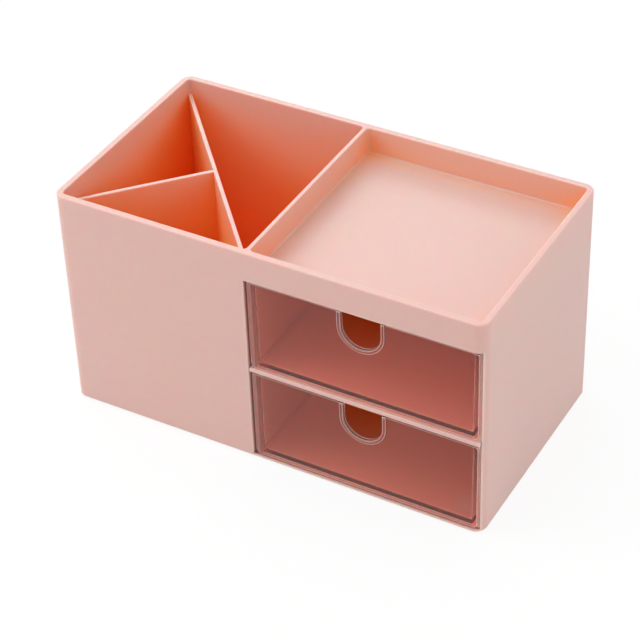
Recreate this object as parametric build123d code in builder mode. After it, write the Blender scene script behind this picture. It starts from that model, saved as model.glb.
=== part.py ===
# Desktop drawer organizer. A moulded case holds a pen bin on the left, and a shallow tray over two clear
# drawers on the right. X runs to the right, Y to the back and Z up. The origin lies on the desk, under the
# middle of the case.

import os
from math import atan2, degrees, hypot

from build123d import *

os.makedirs("parts", exist_ok=True)

# Outside of the organizer, standing on its feet
width = 225.0
depth = 120.0
height = 122.0

# Case walls
wall = 3.3
base_thickness = 1.5
partition = 2.0
corner_radius = 5.8
inner_corner_radius = 2.0
rim_outer_round = 0.8
rim_inner_round = 0.5
base_chamfer = 0.8

# Pen bin, from the left wall to the partition
bin_width = 100.2

# Tray over the drawers
tray_depth = 14.2
tray_floor = 1.6
tray_floor_round = 1.0

# Front opening of the drawer bay. It is wider than the bay, so that the drawer fronts close against a seat in it
opening_overlap = 2.3
jamb_skin = 1.7
seat_depth = 2.6
opening_round = 0.4

# Shelf between the drawers, and the ledges that carry it
shelf_thickness = 2.5
shelf_clearance = 0.15
shelf_setback = 0.2
nose_clearance = 0.35
nose_round = 0.75
ledge_width = 1.8
ledge_height = 1.5

# Divider insert: a long plate from corner to corner of the bin, and a short one from the left wall to it
plate_thickness = 2.0
divider_drop = 8.5
divider_clearance = 0.25
divider_round = 0.4
short_plate_start = 7.1
junction_distance = 72.5

# Drawer front panel
panel_thickness = 1.5
panel_seat_gap = 0.2
panel_side_gap = 1.0
panel_top_gap = 0.6
panel_bottom_gap = 0.5
panel_lower_radius = 3.0
panel_upper_radius = 1.0
panel_round = 0.4

# Drawer box behind the panel, with a runner under each side wall
box_wall = 1.8
box_floor = 2.0
box_side_gap = 0.4
box_rear_gap = 1.5
box_corner_radius = 3.0
box_inner_radius = 1.5
box_front_radius = 1.2
box_floor_round = 1.0
box_ledge_gap = 0.6
draft_angle = 0.5
runner_width = 1.5
runner_height = 1.8
runner_gap = 0.2

# Finger notch in the panel's upper edge, with a raised collar round it on the panel's front
notch_width = 20.3
notch_depth = 18.2
collar_width = 1.9
collar_height = 0.4
notch_round = 0.3

# Soft pads under the case, each seated in a round recess
foot_diameter = 10.0
foot_thickness = 1.2
foot_stand = 0.5
foot_inset = 14.0
foot_clearance = 0.2

# Planes of the case
left, right = -width / 2, width / 2
front, back = -depth / 2, depth / 2
inner_front, inner_back = front + wall, back - wall
bin_left = left + wall
bin_right = bin_left + bin_width
bay_left = bin_right + partition
bay_right = right - wall
opening_left = bay_left - opening_overlap
opening_right = right - jamb_skin
seat = front + seat_depth

# Levels of the case and of the two drawer bays, which are equally high
base_bottom = foot_stand
base_top = base_bottom + base_thickness
tray_top = height - tray_depth
bay_top = tray_top - tray_floor
bay_height = (bay_top - base_top - shelf_thickness) / 2
shelf_bottom = base_top + bay_height
shelf_top = shelf_bottom + shelf_thickness
inner_depth = inner_back - inner_front
inner_middle = (inner_front + inner_back) / 2
bay_width = bay_right - bay_left
bay_depth = inner_back - seat
bay_x, bay_y = (bay_left + bay_right) / 2, (seat + inner_back) / 2

# Foot centres, the same inset from the two nearest sides
foot_places = {
    "foot_front_left": (left + foot_inset, front + foot_inset),
    "foot_front_right": (right - foot_inset, front + foot_inset),
    "foot_rear_left": (left + foot_inset, back - foot_inset),
    "foot_rear_right": (right - foot_inset, back - foot_inset),
}

# Case: a rounded block, hollowed from above for bin and tray, and from the front for the drawers
with BuildPart() as housing:
    with BuildSketch(Plane.XY.offset(base_bottom)):
        RectangleRounded(width, depth, corner_radius)
    extrude(amount=height - base_bottom)
    fillet(housing.faces().sort_by(Axis.Z)[-1].edges(), rim_outer_round)
    chamfer(housing.faces().sort_by(Axis.Z)[0].edges(), base_chamfer)
    # Pen bin, down to the base
    with BuildSketch(Plane.XY.offset(base_top)):
        with Locations(((bin_left + bin_right) / 2, inner_middle)):
            RectangleRounded(bin_width, inner_depth, inner_corner_radius)
    extrude(amount=height - base_top, mode=Mode.SUBTRACT)
    # Tray, with a softly rounded foot to its walls
    with BuildSketch(Plane.XY.offset(tray_top)):
        with Locations((bay_x, inner_middle)):
            RectangleRounded(bay_width, inner_depth, inner_corner_radius)
    extrude(amount=tray_depth, mode=Mode.SUBTRACT)
    fillet(housing.faces(Select.LAST).sort_by(Axis.Z)[0].edges(), tray_floor_round)
    # The inner edges of the rim, round the bin and round the tray
    rim_face = housing.faces().sort_by(Axis.Z)[-1]
    fillet([edge for wire in rim_face.inner_wires() for edge in wire.edges()], rim_inner_round)
    # Drawer bay, from the seat of the drawer fronts to the back wall
    with BuildSketch(Plane.XZ.offset(-seat)):
        with Locations((bay_x, (base_top + bay_top) / 2)):
            Rectangle(bay_width, bay_top - base_top)
    extrude(amount=-bay_depth, mode=Mode.SUBTRACT)
    # Opening in front of the seat
    with BuildSketch(Plane.XZ.offset(-seat)):
        with Locations(((opening_left + opening_right) / 2, (base_top + bay_top) / 2)):
            Rectangle(opening_right - opening_left, bay_top - base_top)
    extrude(amount=seat_depth, mode=Mode.SUBTRACT)
    # Eased front edges of the opening, along its top and its left jamb
    front_edges = housing.edges(Select.LAST).group_by(Axis.Y)[0]
    top_edge = front_edges.filter_by(Axis.X).sort_by(Axis.Z)[-1]
    jamb_edge = front_edges.filter_by(Axis.Z).sort_by(Axis.X)[0]
    fillet([top_edge, jamb_edge], opening_round)
    # Ledges under the shelf, on the partition, the right wall and the back wall
    with BuildSketch(Plane.XY.offset(shelf_bottom - ledge_height)):
        with Locations((bay_x, bay_y)):
            Rectangle(bay_width, bay_depth)
        with Locations((bay_x, bay_y - ledge_width)):
            Rectangle(bay_width - 2 * ledge_width, bay_depth, mode=Mode.SUBTRACT)
    extrude(amount=ledge_height)
    # Recesses for the foot pads
    with BuildSketch(Plane.XY.offset(base_bottom)):
        with Locations(*foot_places.values()):
            Circle(foot_diameter / 2 + foot_clearance)
    extrude(amount=foot_thickness - foot_stand, mode=Mode.SUBTRACT)
housing.part.label = "housing"
export_step(housing.part, "parts/housing.step")

# Shelf: a plate between the walls, with a wider nose that closes the strip between the drawer fronts
nose_width = opening_right - opening_left - 2 * nose_clearance
nose_depth = seat_depth - shelf_setback
with BuildPart() as shelf:
    with BuildSketch(Plane.XY.offset(shelf_bottom)):
        with Locations((bay_x, bay_y - shelf_clearance / 2)):
            Rectangle(bay_width - 2 * shelf_clearance, bay_depth - shelf_clearance)
        with Locations(((opening_left + opening_right) / 2, seat - nose_depth / 2)):
            Rectangle(nose_width, nose_depth)
    extrude(amount=shelf_thickness)
    nose_edges = shelf.faces().sort_by(Axis.Y)[0].edges().filter_by(Axis.X)
    fillet(nose_edges, nose_round)
shelf.part.label = "shelf"
export_step(shelf.part, "parts/shelf.step")

# Divider insert: both plates are cut to the bin's outline, less a clearance, so that their ends fit its walls
bin_x, bin_y = (bin_left + bin_right) / 2, inner_middle
diagonal = hypot(bin_width, inner_depth)
across, along = bin_width / diagonal, -inner_depth / diagonal
junction = (bin_left + junction_distance * across, inner_back + junction_distance * along)
start = (bin_left, inner_front + short_plate_start)
reach = hypot(junction[0] - start[0], junction[1] - start[1])
long_turn = degrees(atan2(along, across))
short_turn = degrees(atan2(junction[1] - start[1], junction[0] - start[0]))
with BuildPart() as divider_insert:
    with BuildSketch(Plane.XY.offset(base_top)):
        with Locations((bin_x, bin_y)):
            Rectangle(diagonal, plate_thickness, rotation=long_turn)
        with Locations(((start[0] + junction[0]) / 2, (start[1] + junction[1]) / 2)):
            Rectangle(reach, plate_thickness, rotation=short_turn)
        with Locations((bin_x, bin_y)):
            RectangleRounded(
                bin_width - 2 * divider_clearance,
                inner_depth - 2 * divider_clearance,
                inner_corner_radius,
                mode=Mode.INTERSECT,
            )
    extrude(amount=height - divider_drop - base_top)
    top_edges = divider_insert.faces().sort_by(Axis.Z)[-1].edges()
    fillet(top_edges.filter_by(lambda edge: edge.length > 2 * plate_thickness), divider_round)
divider_insert.part.label = "divider_insert"
export_step(divider_insert.part, "parts/divider_insert.step")

# Places that both drawers share
panel_back = seat - panel_seat_gap
panel_width = opening_right - opening_left - 2 * panel_side_gap
panel_height = bay_height - panel_top_gap - panel_bottom_gap
panel_x = (opening_left + opening_right) / 2
box_left, box_right = bay_left + box_side_gap, bay_right - box_side_gap
box_rear = inner_back - box_rear_gap
box_x = (box_left + box_right) / 2
box_width = box_right - box_left
box_length = box_rear - panel_back
notch_radius = notch_width / 2
runner_length = box_length - box_corner_radius

# Drawers: each is one clear moulding of front panel, open box and runners
for name, support in (("lower_drawer", base_top), ("upper_drawer", shelf_top)):
    floor_bottom = support + runner_gap + runner_height
    floor_top = floor_bottom + box_floor
    box_top = support + bay_height - ledge_height - box_ledge_gap
    panel_bottom = support + panel_bottom_gap
    panel_top = panel_bottom + panel_height
    notch_middle = panel_top - notch_depth + notch_radius
    with BuildPart() as drawer:
        with BuildSketch(Plane.XY.offset(floor_bottom)) as box_outline:
            with Locations((box_x, (panel_back + box_rear) / 2)):
                Rectangle(box_width, box_length)
            fillet(box_outline.vertices().group_by(Axis.Y)[-1], box_corner_radius)
        extrude(amount=box_top - floor_bottom)
        # The front panel overlaps the box on both sides and below
        with BuildSketch(Plane.XZ.offset(-panel_back)) as panel_outline:
            with Locations((panel_x, (panel_bottom + panel_top) / 2)):
                Rectangle(panel_width, panel_height)
            fillet(panel_outline.vertices().group_by(Axis.Y)[0], panel_lower_radius)
            fillet(panel_outline.vertices().group_by(Axis.Y)[-1], panel_upper_radius)
        extrude(amount=panel_thickness)
        fillet(drawer.faces().sort_by(Axis.Y)[0].edges(), panel_round)
        # Hollow of the box. Its side and rear walls lean in towards the floor by the draft of the mould
        with BuildSketch(Plane.XY.offset(floor_top)) as hollow_outline:
            with Locations((box_x, (panel_back + box_rear - box_wall) / 2)):
                Rectangle(box_width - 2 * box_wall, box_length - box_wall)
            fillet(hollow_outline.vertices().group_by(Axis.Y)[-1], box_inner_radius)
        extrude(amount=box_top - floor_top, mode=Mode.SUBTRACT)
        hollow_faces = drawer.faces(Select.LAST)
        side_walls = hollow_faces.filter_by(Axis.X)
        rear_corners = hollow_faces.filter_by(GeomType.CYLINDER)
        rear_wall = hollow_faces.filter_by(Axis.Y).sort_by(Axis.Y)[-1]
        draft([*side_walls, *rear_corners, rear_wall], Plane.XY.offset(box_top), draft_angle)
        # The leaning edges between the panel and the side walls, then the foot of the walls all round
        panel_edges = drawer.edges().filter_by(GeomType.LINE).filter_by_position(Axis.Y, panel_back, panel_back)
        fillet(panel_edges.filter_by(Axis.X, reverse=True).filter_by(Axis.Z, reverse=True), box_front_radius)
        # Flat faces from below: panel foot, box underside, box floor, box rim and panel top
        floor_face = drawer.faces().filter_by(Axis.Z).sort_by(Axis.Z)[2]
        fillet(floor_face.edges(), box_floor_round)
        # Collar, then the finger notch through it and the panel: a U, open at the top and round below
        for radius, mode in ((notch_radius + collar_width, Mode.ADD), (notch_radius, Mode.SUBTRACT)):
            with BuildSketch(Plane.XZ.offset(-panel_back)):
                with BuildLine():
                    Polyline(
                        (panel_x - radius, notch_middle),
                        (panel_x - radius, panel_top),
                        (panel_x + radius, panel_top),
                        (panel_x + radius, notch_middle),
                    )
                    CenterArc((panel_x, notch_middle), radius, 180, 180)
                make_face()
            extrude(amount=panel_thickness + collar_height, mode=mode)
        fillet(drawer.edges(Select.LAST).group_by(Axis.Y)[0], notch_round)
        # Runners under the side walls, from the panel to where the rear corners begin
        with BuildSketch(Plane.XY.offset(support + runner_gap)):
            with Locations((box_x, panel_back + runner_length / 2)):
                with GridLocations(box_width - runner_width, 0, 2, 1):
                    Rectangle(runner_width, runner_length)
        extrude(amount=runner_height)
    drawer.part.label = name
    export_step(drawer.part, f"parts/{name}.step")

# Foot pads: die-cut soft discs that stand a little proud of their recesses
for name, place in foot_places.items():
    with BuildPart() as foot:
        with BuildSketch():
            with Locations(place):
                Circle(foot_diameter / 2)
        extrude(amount=foot_thickness)
    foot.part.label = name
    export_step(foot.part, f"parts/{name}.step")
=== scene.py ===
from math import radians

import bpy
from mathutils import Matrix, Vector


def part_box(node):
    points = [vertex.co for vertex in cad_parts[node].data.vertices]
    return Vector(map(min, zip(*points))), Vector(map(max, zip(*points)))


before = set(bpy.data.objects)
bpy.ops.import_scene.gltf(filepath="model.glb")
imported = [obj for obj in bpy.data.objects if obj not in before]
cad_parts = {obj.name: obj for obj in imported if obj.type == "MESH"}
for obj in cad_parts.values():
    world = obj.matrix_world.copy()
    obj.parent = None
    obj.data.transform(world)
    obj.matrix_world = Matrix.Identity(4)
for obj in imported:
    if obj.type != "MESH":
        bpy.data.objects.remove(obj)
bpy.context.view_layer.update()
bpy.ops.object.select_all(action="DESELECT")

# Housing
# One injection moulding in satin pink plastic: the pen bin, the tray and the bay of the drawers. The plastic
# is slightly translucent and lets red light through most, and its hollows are painted in a deep orange shade.


class Wire:
    """A socket of a material's nodes. Arithmetic on it adds Math nodes, and node() adds any other kind."""

    def __init__(self, tree, socket=None):
        self.tree = tree
        self.socket = socket

    def node(self, kind, output, settings, values):
        made = self.tree.nodes.new(kind)
        for name, setting in settings.items():
            setattr(made, name, setting)
        for name, value in values.items():
            if isinstance(value, Wire):
                self.tree.links.new(value.socket, made.inputs[name])
            else:
                made.inputs[name].default_value = value
        return Wire(self.tree, made.outputs[output])

    def other(self, output):
        """Another output of the same node."""
        return Wire(self.tree, self.socket.node.outputs[output])

    def maths(self, operation, first, second=0.0):
        return self.node("ShaderNodeMath", "Value", {"operation": operation}, {0: first, 1: second})

    def __add__(self, value):
        return self.maths("ADD", self, value)

    def __radd__(self, value):
        return self.maths("ADD", value, self)

    def __sub__(self, value):
        return self.maths("SUBTRACT", self, value)

    def __rsub__(self, value):
        return self.maths("SUBTRACT", value, self)

    def __mul__(self, value):
        return self.maths("MULTIPLY", self, value)

    def __rmul__(self, value):
        return self.maths("MULTIPLY", value, self)

    def __lt__(self, value):
        return self.maths("LESS_THAN", self, value)

    def __gt__(self, value):
        return self.maths("GREATER_THAN", self, value)

    def __abs__(self):
        return self.maths("ABSOLUTE", self)

    def above(self, low, high):
        """0 below low, 1 above high, and a smooth rise between them."""
        settings = {"interpolation_type": "SMOOTHSTEP"}
        values = {"Value": self, "From Min": low, "From Max": high}
        return self.node("ShaderNodeMapRange", "Result", settings, values)

    def place(self):
        """The point on the piece, in metres."""
        return self.node("ShaderNodeTexCoord", "Object", {}, {})

    def along(self, axis):
        """How far that point lies along X, Y or Z."""
        return self.node("ShaderNodeSeparateXYZ", axis, {}, {0: self.place()})

    def noise(self, scale, detail, stretch=(1, 1, 1)):
        """A cloudy pattern from 0 to 1, with its scale per metre."""
        spread = self.node("ShaderNodeMapping", "Vector", {}, {"Vector": self.place(), "Scale": stretch})
        values = {"Vector": spread, "Scale": scale, "Detail": detail}
        return self.node("ShaderNodeTexNoise", "Fac", {}, values)

    def openness(self, reach, inside=False):
        """1 where nothing stands within reach in front of a face, and less in a gap. Looked at from inside
        the piece, it's less along the outer edges."""
        settings = {"samples": 8, "inside": inside}
        return self.node("ShaderNodeAmbientOcclusion", "AO", settings, {"Distance": reach})

    def mix(self, share, first, second):
        """The first colour where share is 0, and the second where it is 1."""
        values = {"Factor": share, "A": first, "B": second}
        return self.node("ShaderNodeMix", "Result", {"data_type": "RGBA"}, values)

    def grain(self, height, strength):
        """A fine bump of 0.1 mm at most."""
        values = {"Height": height, "Strength": strength, "Distance": 0.0001}
        return self.node("ShaderNodeBump", "Normal", {}, values)


def new_finish(name):
    material = bpy.data.materials.new(name)
    material.use_nodes = True
    material.node_tree.nodes.clear()
    return material, Wire(material.node_tree)


def finish_with(wire, surface, volume=None):
    """Joins the shaders to the output of their material or world."""
    outputs = {"BACKGROUND": "ShaderNodeOutputWorld"}
    end = wire.tree.nodes.new(outputs.get(surface.socket.node.type, "ShaderNodeOutputMaterial"))
    wire.tree.links.new(surface.socket, end.inputs["Surface"])
    if volume:
        wire.tree.links.new(volume.socket, end.inputs["Volume"])


def pink_plastic(name, hollow_shade_mask, seam_shade_mask=None):
    """The hollow and seam masks give, from the material's wires, where a deep place is painted in an orange
    shade and a narrow gap in a dark shade. The edges get a painted pale highlight and are rubbed smoother."""
    open_pink, flow_pink = (0.778, 0.513, 0.457, 1), (0.755, 0.498, 0.443, 1)
    hollow_shade_orange, seam_shade_red, highlight_pink = (1.0, 0.38, 0.06, 1), (0.25, 0.06, 0.05, 1), (0.86, 0.72, 0.67, 1)
    hollow_reach, seam_reach, edge_reach = 0.09, 0.003, 0.0014
    material, wire = new_finish(name)
    # Painted shade: the closed-in places inside the case turn deep orange.
    painted_depth_shade = (1 - wire.openness(hollow_reach).above(0.0, 0.75)) * hollow_shade_mask(wire)
    flow = wire.noise(14, 3, (1, 1, 0.35))
    colour = wire.mix(painted_depth_shade, wire.mix(flow, open_pink, flow_pink), hollow_shade_orange)
    if seam_shade_mask:
        # Painted shade: the narrow gaps round the drawer panels turn dark red.
        painted_seam_shade = (1 - wire.openness(seam_reach).above(0.1, 0.7)) * seam_shade_mask(wire)
        colour = wire.mix(painted_seam_shade, colour, seam_shade_red)
    # Painted highlight: the edges are painted paler, and they are also rubbed smoother.
    worn_edge_and_highlight = 1 - wire.openness(edge_reach, inside=True).above(0.55, 0.95)
    values = {
        "Base Color": wire.mix(0.5 * worn_edge_and_highlight, colour, highlight_pink),
        "Roughness": 0.38 + 0.08 * flow - 0.1 * worn_edge_and_highlight,
        "Normal": wire.grain(wire.noise(2600, 3), 0.06),
        "IOR": 1.58,
        "Subsurface Weight": 1.0,
        "Subsurface Radius": (1.0, 0.2, 0.1),
        "Subsurface Scale": 0.003,
    }
    finish_with(wire, wire.node("ShaderNodeBsdfPrincipled", "BSDF", {}, values))
    return material


def dress(node, material):
    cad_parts[node].data.materials[0] = material


(bay_left, panel_face, _), (_, _, bay_top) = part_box("upper_drawer")


def inside_the_case(wire):
    """1 on faces inside the case, which take the painted shade of the hollows, and 0 on its four outer sides.
    In the bay it rises from the front to the back, so that the faces behind the clear drawers are painted
    lit."""
    skin_x, skin_y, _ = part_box("housing")[1]
    skin, side_gap, top_gap = 0.0005, 0.002, 0.001
    painted_light_fades, dark_from = 0.002, 0.065
    x, y, z = (wire.along(axis) for axis in "XYZ")
    behind_the_skin = (abs(x) < skin_x - skin) * (abs(y) < skin_y - skin)
    in_the_bay = (x > bay_left - side_gap) * (z < bay_top + top_gap)
    painted_light_near_front = 1 - (y - panel_face).above(painted_light_fades, dark_from)
    return behind_the_skin * (1 - in_the_bay * painted_light_near_front)


def round_the_panels(wire):
    """1 in the opening, from the drawer seat to the front, where the panels leave narrow gaps painted in dark
    shade.
    """
    seat_depth = 0.0023
    return wire.along("Y") < panel_face + seat_depth


dress("housing", pink_plastic("satin_pink_case", inside_the_case, round_the_panels))

# Shelf
# The plate between the drawers, moulded in the same plastic. It slides in on the two ledges of the bay, and
# its rounded front edge shows as a pale strip.
dress("shelf", pink_plastic("satin_pink_shelf", inside_the_case))

# Divider insert
# A T of two thin upright plates, moulded as one piece in the same plastic. It drops into the pen bin, where
# its own fit holds it.
dress("divider_insert", pink_plastic("satin_pink_divider", lambda wire: 1.0))

# Drawers
# Two alike, moulded in clear smoky rose styrene with a slight haze. Seen end-on, a wall looks dark, because
# the light then has to come through its whole length. The edges are frosted and throw the light back.


def clear_rose_plastic():
    material, wire = new_finish("clear_rose_plastic")
    rose, frosted_rose = (1, 0.68, 0.6, 1), (1, 0.92, 0.9, 1)
    gap_shade_red, smoky_red = (0.1, 0.02, 0.015, 1), (0.99, 0.5, 0.44, 1)
    edge_reach, gap_reach, panel_skin = 0.0012, 0.002, 0.001
    smudges = wire.noise(60, 2)
    frosted_edge = 1 - wire.openness(edge_reach, inside=True).above(0.5, 0.9)
    panel_front = wire.along("Y") < panel_face + panel_skin
    # Painted shade: the front of the panels turns dark red where another face stands close in front, as under
    # the apron.
    painted_gap_shade = (1 - wire.openness(gap_reach).above(0.4, 0.9)) * panel_front
    values = {
        "Base Color": wire.mix(painted_gap_shade, wire.mix(frosted_edge, rose, frosted_rose), gap_shade_red),
        "Roughness": 0.13 + 0.06 * smudges + 0.8 * frosted_edge,
        "IOR": 1.45,
        "Transmission Weight": 0.978,
        "Metallic": 0.6 * frosted_edge,
        "Specular Tint": (1, 0.6, 0.55, 1),
    }
    plastic = wire.node("ShaderNodeBsdfPrincipled", "BSDF", {}, values)
    passing = wire.node("ShaderNodeBsdfTransparent", "BSDF", {}, {})
    path = wire.node("ShaderNodeLightPath", "Is Shadow Ray", {}, {})
    lamp_light = wire.maths("MAXIMUM", path, path.other("Is Diffuse Ray"))
    values = {"Color": smoky_red, "Density": 60.0}
    smoke = wire.node("ShaderNodeVolumeAbsorption", "Volume", {}, values)
    values = {0: lamp_light, 1: plastic, 2: passing}
    finish_with(wire, wire.node("ShaderNodeMixShader", 0, {}, values), smoke)
    return material


clear = clear_rose_plastic()
for drawer in ("upper_drawer", "lower_drawer"):
    dress(drawer, clear)

# Pads
# Four discs punched out of soft grey foam rubber. They are stuck into recesses in the corners of the base
# and stand half a millimetre proud of it.


def foam_rubber():
    material, wire = new_finish("foam_rubber")
    cell_wall, open_cell = (0.55, 0.53, 0.51, 1), (0.72, 0.70, 0.68, 1)
    cells = wire.noise(3000, 2)
    grey = wire.mix(cells, cell_wall, open_cell)
    values = {"Base Color": grey, "Roughness": 0.85, "Normal": wire.grain(cells, 0.4)}
    finish_with(wire, wire.node("ShaderNodeBsdfPrincipled", "BSDF", {}, values))
    return material


foam = foam_rubber()
for corner in ("front_left", "front_right", "rear_left", "rear_right"):
    dress(f"foot_{corner}", foam)

# Floor
# A plain white sheet of paper that runs out of sight under the organizer. It is seen as pure white, but
# keeps a trace of the shadow.


def seen_by_eye(wire):
    """1 for what the camera sees straight, mirrored or through glass, and 0 for the light on things."""
    path = wire.node("ShaderNodeLightPath", "Is Camera Ray", {}, {})
    bent = wire.maths("MAXIMUM", path.other("Is Glossy Ray"), path.other("Is Transmission Ray"))
    return wire.maths("MAXIMUM", path, bent)


bpy.ops.mesh.primitive_plane_add(size=8.0)
floor = bpy.context.object
floor.name = "floor"
paper, wire = new_finish("white_paper")
paper_white, pure_white, glow_share = (0.86, 0.855, 0.85, 1), (1, 1, 1, 1), 0.85
matt = wire.node("ShaderNodeBsdfDiffuse", "BSDF", {}, {"Color": paper_white})
glow = wire.node("ShaderNodeEmission", "Emission", {}, {"Color": pure_white, "Strength": 1.03})
shares = {0: seen_by_eye(wire) * glow_share, 1: matt, 2: glow}
finish_with(wire, wire.node("ShaderNodeMixShader", 0, {}, shares))
paper.cycles.emission_sampling = "NONE"
floor.data.materials.append(paper)

# Surroundings and lamps
# A white tent all round gives most of the light. A softbox behind the organizer puts the sheen on its top
# faces, one above it models the hollows, and two at the left and the right give the side walls their shading.
tent = bpy.data.worlds.new("white_tent")
tent.use_nodes = True
tent.node_tree.nodes.clear()
wire = Wire(tent.node_tree)
tent_light = 0.63
strength = tent_light + (1 - tent_light) * seen_by_eye(wire)
sky = wire.node("ShaderNodeBackground", "Background", {}, {"Color": pure_white, "Strength": strength})
finish_with(wire, sky)
tent.cycles.sampling_method = "NONE"
bpy.context.scene.world = tent


def softbox(name, place, width, height, watts, colour=(1, 1, 1)):
    """A rectangular lamp that faces the middle of the organizer."""
    middle = Vector((0, 0, 0.06))
    bpy.ops.object.light_add(type="AREA", location=place)
    lamp = bpy.context.object
    lamp.name = name
    lamp.rotation_euler = (middle - Vector(place)).to_track_quat("-Z", "Y").to_euler()
    lamp.data.shape = "RECTANGLE"
    lamp.data.size = width
    lamp.data.size_y = height
    lamp.data.energy = watts
    lamp.data.color = colour


cool_white = (0.92, 0.98, 1.0)
softbox("rear_softbox", (-0.55, 0.95, 0.90), 0.6, 0.5, 2, cool_white)
softbox("upper_softbox", (-0.2, -0.1, 1.3), 1.2, 0.9, 4, cool_white)
softbox("left_softbox", (-1.0, -0.5, 1.0), 0.8, 0.8, 6.2)
softbox("right_softbox", (1.4, 0.0, 0.65), 0.8, 0.8, 2.2)
bpy.context.scene.cycles.diffuse_bounces = 12
bpy.context.scene.cycles.max_bounces = 32
bpy.context.scene.cycles.transmission_bounces = 32

# Camera
# It stands in front on the right and looks down on the organizer through a long lens. Its place, angles and
# lens were fitted to the edges of the case.
turned_left, tipped_down, rolled = 30.3833, 37.7911, -2.1741
bpy.ops.object.camera_add(location=(0.42293, -0.72927, 0.69932))
camera = bpy.context.object
camera.name = "camera"
heading = Matrix.Rotation(radians(turned_left), 3, "Z")
looking_down = Matrix.Rotation(radians(90 - tipped_down), 3, "X")
roll = Matrix.Rotation(radians(rolled), 3, "Z")
camera.rotation_euler = (heading @ looking_down @ roll).to_euler()
camera.data.sensor_width = 36
camera.data.lens = 123.01
camera.data.clip_start = 0.01
bpy.context.scene.camera = camera
bpy.context.scene.view_settings.view_transform = "Standard"
